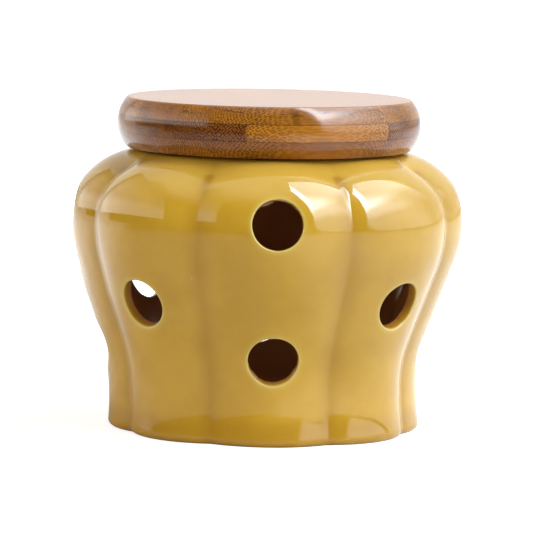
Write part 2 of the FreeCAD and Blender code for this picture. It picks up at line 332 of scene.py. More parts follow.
def rolled_edge(circle, next_ring, axes, inward):
    """From the skin's circle into the bore: a cubic Bezier curve from one slope to the other."""
    centre, outward = axes[:2]
    spoke = circle - centre
    spoke = spoke - (spoke @ outward)[:, None] * outward
    spoke = spoke / np.linalg.norm(spoke, axis=1, keepdims=True)
    fall = circle - next_ring
    fall = fall / -np.sum(fall * spoke, axis=1, keepdims=True)
    corner = circle + vent_edge * fall
    end = corner + vent_edge * inward
    t = np.linspace(0, 1, edge_steps + 1)[1:, None, None]
    first = circle + (corner - circle) * grip
    second = end + (corner - end) * grip
    return ((1 - t) ** 3 * circle + 3 * t * (1 - t) ** 2 * first
            + 3 * t ** 2 * (1 - t) * second + t ** 3 * end)


def nearest_row(name, height):
    """The grid row nearest to a height within one stretch of the section."""
    first, last = reach[name]
    gap = np.abs(np.interp(alongs, path, outline[:, 1]) - height)
    return int(np.argmin(np.where((alongs >= first) & (alongs <= last), gap, np.inf)))


print("border points per vent:", len(border(half_rows, 0)[0]))

# %% [markdown]
# ## Putting the pot together
# The grid, the rings and the bores share their border points, so the pot is one closed surface.
# Four numbers are stored at every point for the glaze: how deep inside the point lies, how near
# it is to an edge where glaze runs thin, how far down in a valley it is, and whether it is bare.

# %% One vent from the outer skin through the wall to the inner skin
bead_size, bead_waves, bead_bias, bead_start = 0.3 * MM, (7, 11, 16, 23), 0.1, 0.2
generator = np.random.default_rng(8)


def glaze_beads(angle):
    """Beads round the inner edge, 0 to 1: a sum of sines of several waves a turn, cut at nought."""
    phases = generator.uniform(0, 2 * math.pi, len(bead_waves))
    total = sum(np.sin(wave * angle + phase) for wave, phase in zip(bead_waves, phases))
    return np.clip(total / len(bead_waves) + bead_bias, 0, 1)


def vent_chain(lobe, height):
    """A vent's rings in order, without the border: places, azimuths, distances, share through."""
    axes, column = vent_axes(lobe, height), vent_column(lobe)
    in_height = height - wall * math.sin(crest_place(height)[2])
    out_row, in_row = nearest_row("outside", height), nearest_row("inside", in_height)
    out_ring, out_azimuth, out_along, out_border = rings(axes, out_row, column, True)
    in_ring, in_azimuth, in_along, in_border = rings(axes, in_row, column, False)
    out_roll = rolled_edge(out_ring[0], out_ring[1], axes, -axes[1])
    in_roll = rolled_edge(in_ring[0], in_ring[1], axes, axes[1])
    swell = np.linspace(bead_start, 1, edge_steps)[:, None, None] * bead_size
    spoke = axes[0] + ((in_roll - axes[0]) @ axes[1])[..., None] * axes[1] - in_roll
    bearing = np.arctan2(-spoke @ axes[3], -spoke @ axes[2])
    beads = glaze_beads(bearing[-1])[None, :, None]
    in_roll = in_roll + beads * swell * spoke / np.linalg.norm(spoke, axis=-1, keepdims=True)
    t = (np.arange(1, bore_steps) / bore_steps)[:, None, None]
    bore = out_roll[-1] * (1 - t) + in_roll[-1] * t
    places = np.concatenate([out_ring[::-1], out_roll, bore, in_roll[::-1], in_ring])
    middle = len(out_roll) + len(bore) + len(in_roll)
    share = np.concatenate([np.zeros(skin_rings), np.arange(1, middle + 1) / (middle + 1),
                            np.ones(skin_rings)])
    azimuth = np.concatenate([out_azimuth[::-1], np.repeat(out_azimuth[:1], middle, 0), in_azimuth])
    along = np.concatenate([out_along[::-1], np.repeat(out_along[:1], middle, 0), in_along])
    share = np.repeat(share[:, None], places.shape[1], 1)
    return places, azimuth, along, share, out_border, in_border


# %% Gather the pot's points and faces
row_count, column_count = len(alongs), len(azimuths)
grid_azimuth, grid_along = np.meshgrid(azimuths, alongs[1:-1])
pole_azimuth, pole_along = np.zeros(2), alongs[[0, -1]]


def grid_index(row, column):
    """Number of a grid point: the rows before it times the columns in a row, plus its column."""
    return (row - 1) * column_count + column % column_count


def ring_quads(numbers):
    """Quads between neighbouring rings of point numbers, each ring closed on itself."""
    ahead = np.roll(numbers, -1, axis=1)
    return np.stack([numbers[:-1], ahead[:-1], ahead[1:], numbers[1:]], -1).reshape(-1, 4)


point_azimuth = [grid_azimuth.ravel(), pole_azimuth]
point_along = [grid_along.ravel(), pole_along]
points = [skin(grid_azimuth, grid_along).reshape(-1, 3), skin(pole_azimuth, pole_along)]
through = [np.interp(along, reach["lip"], [0, 1]) for along in point_along]
count = grid_azimuth.size + 2
solid = np.ones((row_count - 3, column_count), bool)
quads = []
for lobe, height in vents:
    places, azimuth, along, share, out_border, in_border = vent_chain(lobe, height)
    numbers = count + np.arange(azimuth.size).reshape(azimuth.shape)
    quads.append(ring_quads(np.vstack([grid_index(*out_border), numbers, grid_index(*in_border)])))
    for rows, columns in (out_border, in_border):
        left = vent_column(lobe) - half_columns
        cells = np.arange(left, left + 2 * half_columns) % column_count
        solid[rows.min() - 1:rows.max() - 1, cells] = False
    points.append(places.reshape(-1, 3))
    point_azimuth.append(azimuth.ravel())
    point_along.append(along.ravel())
    through.append(share.ravel())
    count += azimuth.size
rows, columns = np.meshgrid(np.arange(1, row_count - 2), np.arange(column_count), indexing="ij")
corners = [grid_index(rows + up, columns + side)[solid]
           for up, side in ((0, 0), (0, 1), (1, 1), (1, 0))]
quads.append(np.stack(corners, -1))
first, last = (grid_index(row, np.arange(column_count)) for row in (1, row_count - 2))
pole = np.full(column_count, grid_azimuth.size)
triangles = np.concatenate([np.stack([pole, np.roll(first, -1), first], -1),
                            np.stack([last, np.roll(last, -1), pole + 1], -1)])
points, point_azimuth, point_along, through = map(
    np.concatenate, (points, point_azimuth, point_along, through))
quads = np.concatenate(quads)
print("pot: %d points, %d quads" % (len(points), len(quads)))

# %% [markdown]
# ## From arrays to a piece
# Every new piece goes through one small helper: it drops the points that no face uses, fills the
# mesh in one go, stores the numbers the materials read, and shades it smooth but for its true
# edges. The mesh holds the place, so the object itself stays at the origin.

# %% A piece from arrays
def make_piece(name, points, faces, numbers=None, sharp=None):
    """An object from points, lists of faces, numbers per point, and an angle for sharp edges."""
    corners = np.concatenate([np.ravel(group) for group in faces])
    used, flat = np.unique(corners, return_inverse=True)
    places, start = [], 0
    for group in faces:
        places += flat[start:start + group.size].reshape(group.shape).tolist()
        start += group.size
    mesh = bpy.data.meshes.new(name)
    mesh.from_pydata(points[used].tolist(), [], places)
    for label, values in (numbers or {}).items():
        layer = mesh.attributes.new(label, "FLOAT", "POINT")
        layer.data.foreach_set("value", np.asarray(values, np.float32)[used])
    mesh.shade_smooth()
    if sharp is not None:
        mesh.set_sharp_from_angle(angle=sharp)
    piece = bpy.data.objects.new(name, mesh)
    bpy.context.scene.collection.objects.link(piece)
    print("%s: %d points, %d faces" % (name, len(used), len(mesh.polygons)))
    return piece


# %% The pot as a piece
thin_reach, thin_fade, bare_reach = 0.9 * MM, 0.4, 0.5 * MM
turn, take = (np.interp(point_along, path, outline[:, k]) for k in (2, 3))
valley = groove_share(point_azimuth) * take
valley *= 1 - np.clip((turn - groove_fade) / (quarter - groove_fade), 0, 1)
thin = np.exp(-np.abs(point_along - np.mean(reach["lip"])) / (2 * thin_reach))
for lobe, height in vents:
    centre, outward = vent_axes(lobe, height)[:2]
    offset = points - centre
    depth = -(offset @ outward)
    beside = np.linalg.norm(offset + depth[:, None] * outward, axis=1)
    near_wall = np.abs(depth) < 2 * wall
    gap = np.clip(beside - vent_radius - vent_edge / 3, 0, None)
    edge = near_wall * np.exp(-gap / thin_reach) * np.exp(-through / thin_fade)
    thin = np.maximum(thin, edge)
past_foot = np.abs(point_along - np.mean(reach["foot"])) - np.ptp(reach["foot"]) / 2
bare = np.exp(-np.clip(past_foot, 0, None) / bare_reach)
pot = make_piece("pot_glazed", points, [quads, triangles],
                 {"through": through, "valley": valley, "thin": thin, "bare": bare})
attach(pot, "pot")
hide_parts("pot")

# %% [markdown]
# ## The lid's bamboo strips
# The lid is a board of three plies, each glued up from bamboo strips eighteen millimetres wide,
# then turned on a lathe so that its rim bulges. Each strip stays a piece of its own, because on
# the real lid each has its own tone and its fibres run through it from end to end. A strip is
# the turned rim's radius at each height, cut off between two planes along the grain.

# %% Sizes of the lid
lid_radius, lid_bulge, lid_crease = 50.4 * MM, 12.5 * MM, 0.9 * MM
ply_thickness, lid_floor = 5.6 * MM, 93.3 * MM
lid_middle, lid_top = lid_floor + 1.5 * ply_thickness, lid_floor + 3 * ply_thickness
strip_width, grain_angle, least_strip = 18.0 * MM, math.radians(18), 0.22
joint_shares = {"bottom": -0.056, "middle": 0.433, "top": 0.478}
strip_counts = {"bottom": 6, "middle": 7, "top": 7}
bulge_steps, crease_steps = 9, 7
bulge_centre = lid_radius - lid_bulge
crease_rise = 1.5 * ply_thickness - lid_crease
crease_centre = bulge_centre + math.sqrt((lid_bulge - lid_crease) ** 2 - crease_rise ** 2)
crease_start = math.asin(crease_rise / (lid_bulge - lid_crease))


def ply_profile(ply):
    """Radius and height up one ply's rim: the bulge's arc, then the crease's and a bit of flat."""
    ply_lean = math.asin(ply_thickness / 2 / lid_bulge)
    low, high = {"bottom": (-crease_start, -ply_lean), "middle": (-ply_lean, ply_lean),
                 "top": (ply_lean, crease_start)}[ply]
    bulge = arc((bulge_centre, lid_middle), lid_bulge, low, high, bulge_steps)[:, :2]
    if ply == "middle":
        return bulge
    crease = arc((crease_centre, crease_rise), lid_crease, crease_start, quarter, crease_steps)
    crease = np.vstack([crease[1:, :2], crease[-1, :2] - [lid_crease / 3, 0]])
    if ply == "top":
        return np.vstack([bulge, crease + [0, lid_middle]])
    return np.vstack([crease[::-1] * [1, -1] + [0, lid_middle], bulge])


def strip_bounds(ply):
    """Where a ply's strips meet, across the grain from back to front, ends on the lid's edge."""
    first = joint_shares[ply] * strip_width
    count = strip_counts[ply] - 1
    lowest = math.ceil((least_strip * strip_width - lid_radius - first) / strip_width)
    joints = [first + strip_width * (lowest + k) for k in range(count)]
    return [-lid_radius] + joints + [lid_radius]


for ply in joint_shares:
    print(ply, "joints at", [round(place / MM, 1) for place in strip_bounds(ply)])


# %% A strip as a closed surface
arc_points = 24


def along_grain(run, side):
    """Level places from distances along and across the grain: a turn by the grain's angle."""
    x = run * math.cos(grain_angle) + side * math.sin(grain_angle)
    return x, run * math.sin(grain_angle) - side * math.cos(grain_angle)


def strip_surface(ply, near, far):
    """Rings up the strip, each two arcs of the rim between its joints, and caps of quads."""
    radius, height = ply_profile(ply).T[:, :, None]
    low, high = (np.arcsin(np.clip(joint / radius, -1, 1)) for joint in (near, far))
    angle = low + (high - low) * np.linspace(0, 1, arc_points)
    run, side = radius * np.cos(angle), radius * np.sin(angle)
    run, side = np.hstack([run, -run[:, ::-1]]), np.hstack([side, side[:, ::-1]])
    x, y = along_grain(run, side)
    points = np.stack([x, y, np.broadcast_to(height, x.shape)], -1).reshape(-1, 3)
    numbers = np.arange(x.size).reshape(x.shape)
    cap = np.arange(arc_points - 1)
    other = 2 * arc_points - 1 - cap
    across = np.stack([cap, cap + 1, other - 1, other], -1)
    faces = [ring_quads(numbers)[:, ::-1], across + numbers[0, 0],
             (across + numbers[-1, 0])[:, ::-1]]
    to_near = side - near if near > -lid_radius else np.inf
    to_far = far - side if far < lid_radius else np.inf
    return points, faces, np.minimum(to_near, to_far).ravel()


def wood_numbers(points, joint_gap, seed, tone):
    """What the bamboo reads at every point: millimetres to a joint, the piece's seed and tone."""
    values = {"joint_gap": joint_gap, "seed": seed, "tone": tone}
    return {label: np.broadcast_to(value, len(points)) for label, value in values.items()}


# %% Weld a piece's doubled points
touching, crisp = 0.001 * MM, math.radians(32)


def weld(piece):
    """Merges points that lie together, turns all faces outward, and shades smooth but for edges."""
    mesh = bmesh.new()
    mesh.from_mesh(piece.data)
    bmesh.ops.remove_doubles(mesh, verts=mesh.verts, dist=touching)
    bmesh.ops.recalc_face_normals(mesh, faces=mesh.faces)
    mesh.to_mesh(piece.data)
    mesh.free()
    piece.data.shade_smooth()
    piece.data.set_sharp_from_angle(angle=crisp)


# %% Make the strips
strips = {}
generator = np.random.default_rng(5)
tones = {"bottom": (0.5, 0.3, 0.6, 0.45, 0.42, 0.55),
         "middle": (0.4, 0.6, 0.3, 0.5, 0.6, 1.0, 0.25),
         "top": (0.3, 0.45, 0.35, 0.25, 0.7, 0.4, 0.42)}
for ply in strip_counts:
    bounds = strip_bounds(ply)
    for number, (near, far) in enumerate(zip(bounds, bounds[1:]), start=1):
        points, faces, joint_gap = strip_surface(ply, near, far)
        seed, tone = generator.uniform(0, 1), tones[ply][number - 1]
        name = "%s_strip_%d" % (ply, number)
        strip = make_piece(name, points, faces, wood_numbers(points, joint_gap / MM, seed, tone))
        weld(strip)
        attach(strip, "lid")
        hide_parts("lid_" + name)
        strips[name] = strip

# %% [markdown]
# ## The plug and its ring
# Under the lid a turned plug drops into the mouth, and a soft ring with two ribs grips the glaze.
# Both are outlines spun on a lathe: one that starts and ends on the axis, and one closed on itself.

# %% A lathe
spin_count = 192


def spun(profile, closed):
    """A profile carried round the axis: radius times the sine and cosine of each azimuth."""
    azimuth = np.arange(spin_count) * 2 * math.pi / spin_count
    radius, height = profile.T[:, :, None]
    points = np.stack([radius * np.sin(azimuth), -radius * np.cos(azimuth),
                       np.broadcast_to(height, (len(profile), spin_count))], -1).reshape(-1, 3)
    numbers = np.arange(len(points)).reshape(len(profile), spin_count)
    if closed:
        numbers = np.vstack([numbers, numbers[:1]])
    return points, [ring_quads(numbers)]


def corner_arc(centre, radius, first, last, count=7):
    """Radii and heights of a small rounded corner, angles in degrees."""
    return arc(centre, radius, math.radians(first), math.radians(last), count)[:, :2]


# %% The plug
plug_radius, plug_height, plug_edge = 36.4 * MM, 9.4 * MM, 1.5 * MM
ring_seat, ring_low, ring_high = 34.3 * MM, 86.6 * MM, 92.4 * MM
plug_floor, ease = lid_floor - plug_height, 0.25 * MM
plug_numbers = 9.0, 0.37, 0.6
plug_profile = np.vstack([
    [[0, plug_floor], [plug_radius - 2 * plug_edge, plug_floor]],
    corner_arc((plug_radius - plug_edge, plug_floor + plug_edge), plug_edge, -90, 0, 9),
    corner_arc((plug_radius - ease, ring_low - ease), ease, 0, 90, 5),
    [[ring_seat, ring_low], [ring_seat, ring_high]],
    corner_arc((plug_radius - ease, ring_high + ease), ease, -90, 0, 5),
    [[plug_radius, lid_floor], [0, lid_floor]]])
points, faces = spun(plug_profile, False)
plug = make_piece("plug_turned", points, faces, wood_numbers(points, *plug_numbers))
weld(plug)
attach(plug, "lid")
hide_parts("lid_plug")

# %% The silicone ring
ring_inner, rib_reach, rib_height, nose = 34.6 * MM, 38.3 * MM, 1.6 * MM, 0.7 * MM
band_low, band_high, root = 86.9 * MM, 92.1 * MM, 0.3 * MM


def rib_profile(low):
    """A rib's round nose and its eased roots, from its underside to its top."""
    return np.vstack([corner_arc((rib_reach - nose, low + nose), nose, -90, 0),
                      corner_arc((rib_reach - nose, low + rib_height - nose), nose, 0, 90)])


ring_profile = np.vstack([
    corner_arc((ring_inner + root, band_low + root), root, 180, 270, 5),
    rib_profile(band_low),
    corner_arc((plug_radius + root, band_low + rib_height + root), root, 270, 180, 5),
    corner_arc((plug_radius + root, band_high - rib_height - root), root, 180, 90, 5),
    rib_profile(band_high - rib_height),
    corner_arc((ring_inner + root, band_high - root), root, 90, 180, 5)])
points, faces = spun(ring_profile, True)
ring = make_piece("silicone_ring", points, faces, sharp=math.radians(50))
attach(ring, "seal")
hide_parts("seal_ring")

# %% [markdown]
# ## Building finishes from nodes
# A finish here is never a flat colour: a glaze pools and thins, bamboo shows its bundles, and
# everything has been touched. All of it is worked out from each point's place on the object, so
# it has no seams and needs no picture. Nodes could be wired by hand, but a few small helpers
# keep the wiring as short as a formula. Colours are written as a screen shows them, 0 to 255.

# %% Helpers for node materials
def shade(red, green, blue):
    """A colour of light from screen values: each channel over 255, undone by the sRGB curve."""
    light = [((v / 255 + 0.055) / 1.055) ** 2.4 if v > 10 else v / 255 / 12.92
             for v in (red, green, blue)]
    return (*light, 1)


def node(tree, kind, settings=None, inputs=None):
    """Adds a node: settings by name, inputs by name or number, each a value or a socket to link."""
    made = tree.nodes.new(kind)
    for key, value in (settings or {}).items():
        setattr(made, key, value)
    for key, value in (inputs or {}).items():
        if isinstance(value, bpy.types.NodeSocket):
            tree.links.new(value, made.inputs[key])
        else:
            made.inputs[key].default_value = value
    return made


def maths(tree, operation, first, second=0.0, third=0.0):
    """One sum, product or other operation of numbers, kept unclamped."""
    return node(tree, "ShaderNodeMath", {"operation": operation},
                {0: first, 1: second, 2: third}).outputs[0]


def times(tree, first, second):
    """One number times another."""
    return maths(tree, "MULTIPLY", first, second)


def times_plus(tree, first, second, third):
    """One number times another, plus a third."""
    return maths(tree, "MULTIPLY_ADD", first, second, third)


def blend(tree, amount, first, second):
    """Two colours mixed: the first at amount 0, the second at amount 1."""
    return node(tree, "ShaderNodeMix", {"data_type": "RGBA"},
                {0: amount, 6: first, 7: second}).outputs[2]


def tint(tree, colour, mask, strength, other):
    """A colour turned towards another: by the strength where the mask is 1."""
    return blend(tree, times(tree, mask, strength), colour, other)


def between(tree, value, low, high, start=0.0, end=1.0):
    """An S-curve from start to end as the value goes from low to high."""
    return node(tree, "ShaderNodeMapRange", {"interpolation_type": "SMOOTHSTEP"},
                {0: value, 1: low, 2: high, 3: start, 4: end}).outputs[0]


def noise(tree, vector, scale, detail=2.0, roughness=0.5):
    """Cloudy noise around 0.5, with a number of features per metre."""
    return node(tree, "ShaderNodeTexNoise", None,
                {"Vector": vector, "Scale": scale, "Detail": detail,
                 "Roughness": roughness}).outputs[0]


def parts(tree, vector):
    """The three numbers of a vector."""
    return node(tree, "ShaderNodeSeparateXYZ", None, {0: vector}).outputs


def own_place(tree):
    """A point's place on its own object, in metres."""
    return node(tree, "ShaderNodeTexCoord").outputs["Object"]


def scattered(tree, vector, scale):
    """Random cells: the distance to a cell's point in cells, and three random numbers per cell."""
    cells = node(tree, "ShaderNodeTexVoronoi", None, {"Vector": vector, "Scale": scale})
    lot = node(tree, "ShaderNodeSeparateColor", None, {0: cells.outputs["Color"]})
    return cells.outputs["Distance"], lot.outputs


def painted(tree, name):
    """A value stored on the points of the piece."""
    return node(tree, "ShaderNodeAttribute", {"attribute_name": name}).outputs["Fac"]


def new_group(name, inputs, outputs):
    """A node group with sockets of given kinds: its tree, its inputs and its output node."""
    tree = bpy.data.node_groups.new(name, "ShaderNodeTree")
    for side, sockets in (("INPUT", inputs), ("OUTPUT", outputs)):
        for socket, kind in sockets.items():
            tree.interface.new_socket(socket, in_out=side, socket_type="NodeSocket" + kind)
    return tree, tree.nodes.new("NodeGroupInput").outputs, tree.nodes.new("NodeGroupOutput")


def close_group(tree, leave, values):
    """Links each named value to the output node of a group."""
    for name, value in values.items():
        tree.links.new(value, leave.inputs[name])


def use_group(tree, group, inputs=None):
    """The outputs of a group placed in a material."""
    return node(tree, "ShaderNodeGroup", {"node_tree": group}, inputs).outputs


def show(tree, shader):
    """Makes a shader the surface of its material."""
    node(tree, "ShaderNodeOutputMaterial", None, {"Surface": shader.outputs[0]})


def finish(made, colour, roughness, height, pieces, settings=None):
    """Closes a material with a Principled shader, its height in millimetres, for some pieces."""
    material, tree = made
    normal = node(tree, "ShaderNodeBump", None,
                  {"Strength": 1.0, "Distance": MM, "Height": height}).outputs[0]
    show(tree, node(tree, "ShaderNodeBsdfPrincipled", None,
                    {"Base Color": colour, "Roughness": roughness, "Normal": normal,
                     **(settings or {})}))
    for piece in pieces:
        piece.data.materials.append(material)
    print(material.name, "on", len(pieces), "piece(s),", len(tree.nodes), "nodes")


def new_material(name):
    """An empty node material and its tree."""
    material = bpy.data.materials.new(name)
    material.use_nodes = True
    material.node_tree.nodes.clear()
    return material, material.node_tree


# %% [markdown]
# ## Traces of use
# Glaze, lacquer and silicone all gather the same two things: a faint haze where hands have
# been, and single specks of dust. One node group makes both, so every finish shares it and
# only sets how much of each it shows.

# %% A group for haze and dust
smudge_scale, fine_scale, dust_scale = 55, 420, 260
handled, entry, leave = new_group("handled", {"Vector": "Vector", "Grain": "Float"},
                                  {"Haze": "Float", "Dust": "Float"})
smudge = noise(handled, entry["Vector"], smudge_scale, 4, 0.62)
fine = noise(handled, entry["Vector"], times(handled, entry["Grain"], fine_scale), 3, 0.6)
haze = times(handled, between(handled, smudge, 0.5, 0.72), between(handled, fine, 0.3, 0.75))
away, lot = scattered(handled, entry["Vector"], dust_scale)
dust = times(handled, between(handled, away, 0.05, 0.03), between(handled, lot[0], 0.84, 0.86))
close_group(handled, leave, {"Haze": haze, "Dust": dust})
print("handled:", len(handled.nodes), "nodes")

# %% [markdown]
# ## The mustard glaze
# The pot was dipped: honey-brown glaze runs off edges, where it is thin and pale, and gathers
# in the valleys, where it is deep; the valleys' darkening is also partly painted shade. The
# palest line along the edges is partly a painted highlight. Painted shade darkens the glaze
# towards the foot and in the valleys under the lid, and a painted light band lightens it just
# below the lid. Inside, the pot was lined with a dark brown glaze that meets the outer one in a
# beaded line within each vent. The foot ring was wiped bare. The points of the pot carry how far
# through the wall they are, how deep in a valley, how near an edge and how bare, and the finish
# mixes colours by those values and by height.

# %% Glaze colours by thickness, painted shade and painted light
cloud_scale, painted_light_band = 48, (79 * MM, 86 * MM)
foot_shade, lid_valley_shade = (11 * MM, 5 * MM), (80 * MM, 90 * MM)
deep_and_shaded, pale = shade(168, 118, 28), shade(253, 238, 165)
glaze = new_material("mustard_glaze")
tree = glaze[1]
spot = own_place(tree)
level = parts(tree, spot)["Z"]
valley, thin = painted(tree, "valley"), painted(tree, "thin")
clouds = noise(tree, spot, cloud_scale, 3, 0.55)
colour = blend(tree, between(tree, clouds, 0.32, 0.68), shade(198, 148, 38), shade(209, 159, 46))
# Darker in the valleys: partly glaze pooling, partly painted shade in the valleys.
colour = tint(tree, colour, between(tree, valley, 0.5, 1.0), 0.35, deep_and_shaded)
# Painted light: a paler band on the glaze just below the lid, where the lid's shade falls.
colour = tint(tree, colour, between(tree, level, *painted_light_band), 0.22, shade(236, 198, 100))
# Painted shade: the glaze is darkened towards the foot and in the valleys just under the lid.
painted_shade = maths(tree, "ADD", times(tree, between(tree, level, *foot_shade), 0.4),
               times(tree, between(tree, level, *lid_valley_shade), between(tree, valley, 0.75, 1.0)))
colour = blend(tree, painted_shade, colour, deep_and_shaded)
colour = tint(tree, colour, between(tree, thin, 0.02, 0.5), 0.2, shade(226, 206, 96))
# The palest line along the rolled edges: partly thin glaze, partly a painted highlight.
colour = tint(tree, colour, between(tree, thin, 0.5, 0.85), 0.7, pale)

# %% Iron specks and pinholes
speck_scale = 150
away, lot = scattered(tree, spot, speck_scale)
iron = times(tree, between(tree, away, 0.05, 0.015), between(tree, lot[0], 0.80, 0.82))
pinhole = times(tree, between(tree, away, 0.05, 0.03), between(tree, lot[1], 0.94, 0.95))
colour = tint(tree, colour, iron, 0.55, shade(96, 58, 22))
colour = tint(tree, colour, pinhole, 0.6, shade(240, 226, 170))

# %% The dark lining and the bare foot
ragged_scale, ragged_reach, bisque_scale = 1100, 1.6, 700
through, bare = painted(tree, "through"), painted(tree, "bare")
wobble = maths(tree, "SUBTRACT", noise(tree, spot, ragged_scale, 3, 0.75), 0.5)
lining = between(tree, maths(tree, "ADD", through, times(tree, wobble, ragged_reach)), 0.62, 0.64)
bore, wiped = between(tree, through, 0.2, 0.5), between(tree, bare, 0.5, 0.9)
colour = tint(tree, colour, bore, 0.75, shade(182, 112, 28))
brown = blend(tree, clouds, shade(172, 108, 52), shade(192, 126, 66))
colour = blend(tree, lining, colour, brown)
bisque = blend(tree, noise(tree, spot, bisque_scale, 3), shade(214, 190, 152), shade(232, 214, 182))
colour = blend(tree, wiped, colour, bisque)

# %% Sheen and relief of the glaze
wave_scale, peel_scale = 62, 260
traces = use_group(tree, handled, {"Vector": spot, "Grain": 1.0})
roughness = times_plus(tree, traces["Haze"], 0.10, 0.045)
for mask, rougher in ((traces["Dust"], 0.3), (bore, 0.18), (wiped, 0.75)):
    roughness = maths(tree, "ADD", roughness, times(tree, mask, rougher))
beads = times(tree, times(tree, lining, maths(tree, "SUBTRACT", 1.0, lining)), 0.5)
height = times(tree, noise(tree, spot, wave_scale, 1.5, 0.4), 0.10)
for mask, rise in ((noise(tree, spot, peel_scale, 1.0), 0.008), (pinhole, -0.06), (beads, 0.5)):
    height = times_plus(tree, mask, rise, height)
finish(glaze, colour, roughness, height, [pot])

# %% [markdown]
# ## Laminated bamboo
# Bamboo is a bundle of stiff dark fibres in pale soft tissue. Along the grain they show as long
# streaks and across it as a field of dots, and this lid shows both, since its grain runs from
# left to right. A picture of wood would smear on the curved rim, so the dots are the cells of a
# lattice square to the grain, carried through the whole solid, and they fade where the surface
# runs along the grain. Every strip shifts the lattice by its own seed, so nothing runs on into
# the next strip, and culm nodes cross a strip here and there.

# %% The bamboo group
fibre_length, fibre_gap, bundle_side, bundle_rise = 18 * MM, 0.16 * MM, 0.46 * MM, 0.8 * MM
lattice_turn, lattice_mess, seed_jumps, sway = math.radians(38), 0.45, (7.3, 3.1), 2.2 * MM
wander_size, crowd_size, broad_size = (60 * MM, 9 * MM), (80 * MM, 4 * MM), (90 * MM, 7 * MM)
bamboo, entry, leave = new_group(
    "bamboo", {"Pale": "Color", "Dark": "Color", "Seed": "Float", "Tone": "Float", "Gap": "Float"},
    {"Color": "Color", "Roughness": "Float", "Height": "Float"})


def turned(vector, angle):
    """A place turned about the vertical axis."""
    return node(bamboo, "ShaderNodeMapping", None,
                {"Vector": vector, "Rotation": (0, 0, angle)}).outputs[0]


def joined(first, second, third=0.0):
    """A place from three numbers."""
    return node(bamboo, "ShaderNodeCombineXYZ", None, {0: first, 1: second, 2: third}).outputs[0]


def vector_sum(operation, first, second):
    """A sum or product of two vectors, number by number."""
    return node(bamboo, "ShaderNodeVectorMath", {"operation": operation},
                {0: first, 1: second}).outputs[0]


here = own_place(bamboo)
grain = turned(here, -grain_angle)
moved = vector_sum("ADD", grain, joined(times(bamboo, entry["Seed"], seed_jumps[0]), entry["Seed"],
                                        times(bamboo, entry["Seed"], seed_jumps[1])))


def stretched(along, across):
    """The grain's place with features of one length along it and another across it, in metres."""
    return vector_sum("MULTIPLY", moved, (1 / along, 1 / across, 1 / across))


wander = noise(bamboo, stretched(*wander_size), 1.0, 1)
run, side, rise = parts(bamboo, moved)
swayed = maths(bamboo, "DIVIDE", times_plus(bamboo, wander, sway, side), bundle_side)
section = turned(joined(swayed, maths(bamboo, "DIVIDE", rise, bundle_rise)), lattice_turn)
cells = node(bamboo, "ShaderNodeTexVoronoi", {"voronoi_dimensions": "2D"},
             {"Vector": section, "Scale": 1.0, "Randomness": lattice_mess})
crowd = noise(bamboo, stretched(*crowd_size), 1.0, 2)
bundle = between(bamboo, cells.outputs["Distance"], times_plus(bamboo, crowd, 0.35, 0.3),
                 times_plus(bamboo, crowd, 0.3, 0.15))
fibre = noise(bamboo, stretched(fibre_length, fibre_gap), 1.0, 3, 0.7)
broad = noise(bamboo, stretched(*broad_size), 1.0, 2)

# %% Culm nodes, glue lines and torn fibres
culm_bend, culm_spacing, culm_width, culm_ridge = 10 * MM, 110 * MM, 2.2 * MM, 0.6 * MM
glue_width, glue_core, top_low, top_high = 0.2, 0.06, lid_top - 0.7 * MM, lid_top - 0.2 * MM
torn_height, torn_reach, torn_core = lid_top - 2.0 * MM, 1.3 * MM, 0.5 * MM
fleck_scale = (240, 240, 1100)


def off(value, place):
    """How far a number is from a place, either way."""
    return maths(bamboo, "ABSOLUTE", maths(bamboo, "SUBTRACT", value, place))


bent = times_plus(bamboo, wander, culm_bend, run)
culm = between(bamboo, maths(bamboo, "PINGPONG", bent, culm_spacing), culm_width, culm_ridge)
level = parts(bamboo, here)["Z"]
flat_top = between(bamboo, level, top_low, top_high)
off_ply = off(off(level, lid_middle), ply_thickness / 2)
joint = times(bamboo, between(bamboo, entry["Gap"], glue_width, glue_core), 0.5)
ply_line = between(bamboo, off_ply, glue_width * MM, glue_core * MM)
glue = maths(bamboo, "MAXIMUM", joint, ply_line)
flecks = noise(bamboo, vector_sum("MULTIPLY", here, fleck_scale), 1.0, 3)
torn = times(bamboo, between(bamboo, off(level, torn_height), torn_reach, torn_core),
             between(bamboo, flecks, 0.56, 0.64))

# %% The group's colour, sheen and relief
glue_brown, top_brown = shade(52, 24, 10), shade(158, 104, 84)
patchy = times(bamboo, maths(bamboo, "SUBTRACT", broad, 0.5), 0.7)
tone = times(bamboo, maths(bamboo, "ADD", entry["Tone"], patchy),
             times_plus(bamboo, flat_top, -0.4, 1.0))
tissue = blend(bamboo, between(bamboo, tone, 0.0, 1.0), entry["Pale"], entry["Dark"])
darker = node(bamboo, "ShaderNodeHueSaturation", None,
              {"Value": 0.3, "Saturation": 1.1, "Color": tissue}).outputs[0]
lighter = blend(bamboo, 0.42, tissue, entry["Pale"])
strand = blend(bamboo, between(bamboo, entry["Tone"], 0.62, 0.68), darker, lighter)
grain_run, grain_side, _ = parts(bamboo, grain)
from_axis = maths(bamboo, "POWER", maths(bamboo, "ADD", times(bamboo, grain_run, grain_run),
                                         times(bamboo, grain_side, grain_side)), 0.5)
lengthwise = maths(bamboo, "DIVIDE", maths(bamboo, "ABSOLUTE", grain_run), from_axis)
end_grain = between(bamboo, lengthwise, 0.08, 0.5)
shown = times_plus(bamboo, end_grain, 0.62, times_plus(bamboo, flat_top, -0.2, 0.3))
marked = maths(bamboo, "MAXIMUM", glue, torn)
colour = tint(bamboo, tissue, bundle, shown, strand)
colour = tint(bamboo, colour, between(bamboo, fibre, 0.35, 0.7), 0.4, darker)
colour = tint(bamboo, colour, culm, 0.5, darker)
